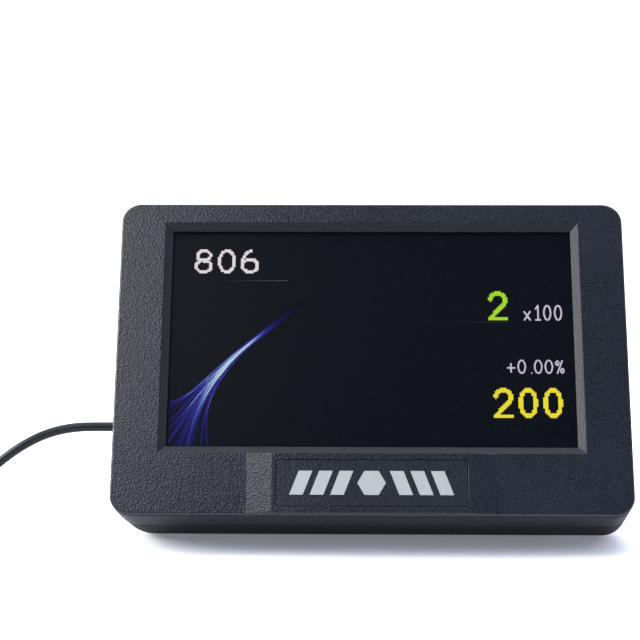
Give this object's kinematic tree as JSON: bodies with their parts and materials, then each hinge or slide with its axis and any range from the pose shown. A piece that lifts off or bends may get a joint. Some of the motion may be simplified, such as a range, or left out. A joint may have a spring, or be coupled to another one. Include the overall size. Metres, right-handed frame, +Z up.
{
  "type": "customer display head",
  "caption": "Small leaning colour customer display in a grained black case with a badge plate, a folding rear leg and a thin coiled data lead.",
  "frame": {"origin": "middle of the rubber strip's underside, on the table", "axes": "+X to the right of the screen, -Y to the front, where the screen faces, +Z up"},
  "size_m": [0.2095, 0.1126, 0.0791],
  "materials": {
    "front_shell": "spark-eroded grain",
    "rear_shell": "fine grain",
    "badge_plate": "fine grain",
    "badge_print": "silver-grey print",
    "foam": "closed-cell foam",
    "screen": "anti-glare screen with a lit picture",
    "sheet_steel": "pressed and plated",
    "diffuser": "milky",
    "zinc_screw": "zinc plated",
    "black_screw": "black zinc",
    "flex_film": "amber film",
    "circuit_board": "green solder mask",
    "chip_resin": "moulded resin",
    "connector_nylon": "natural nylon",
    "capacitor_sleeve": "shrunk sleeve",
    "brass_insert": "turned",
    "foot_rubber": "matt",
    "label_film": "satin film, blank",
    "boot_rubber": "satin",
    "lead_jacket": "smooth, slightly glossy",
    "clamp_nylon": "natural nylon",
    "pin_steel": "ground",
    "leg_plastic": "fine grain",
    "tie_nylon": "soft strip",
    "plug_plastic": "overmoulded, satin",
    "plug_steel": "nickel plated",
    "plug_insulator": "white resin",
    "contact_gold": "gold plated"
  },
  "bodies": {
    "housing": {"front_bezel": "front_shell", "badge_plate": "badge_plate", "badge_mark": "badge_print", "lcd_gasket": "foam", "lcd_glass": "screen", "lcd_frame": "sheet_steel", "lcd_backlight": "diffuser", "lcd_brackets": "sheet_steel", "lcd_screws": "zinc_screw", "lcd_flex": "flex_film", "main_board": "circuit_board", "board_chips": "chip_resin", "board_connectors": "connector_nylon", "board_capacitors": "capacitor_sleeve", "board_screws": "zinc_screw", "rear_cover": "rear_shell", "cover_screws": "black_screw", "mount_inserts": "brass_insert", "foot_strip": "foot_rubber", "rating_label": "label_film", "strain_relief": "boot_rubber", "inner_lead": "lead_jacket", "lead_clamp": "clamp_nylon", "clamp_screws": "zinc_screw", "hinge_pin": "pin_steel", "hinge_washers": "pin_steel", "hinge_retainer": "pin_steel", "cord_cable": "lead_jacket", "cord_coil": "lead_jacket", "cord_tail": "lead_jacket", "cord_tie": "tie_nylon", "plug_overmould": "plug_plastic", "plug_shell": "plug_steel", "plug_insulator": "plug_insulator", "plug_contacts": "contact_gold"},
    "stand": {"stand_leg": "leg_plastic", "stand_foot": "foot_rubber"}
  },
  "joints": [
    {"name": "stand_fold", "type": "hinge", "parent": "housing", "child": "stand", "pos_m": [0, 0.02868, 0.03994], "axis": [1, 0, 0], "range_deg": [-50, 0]}
  ]
}
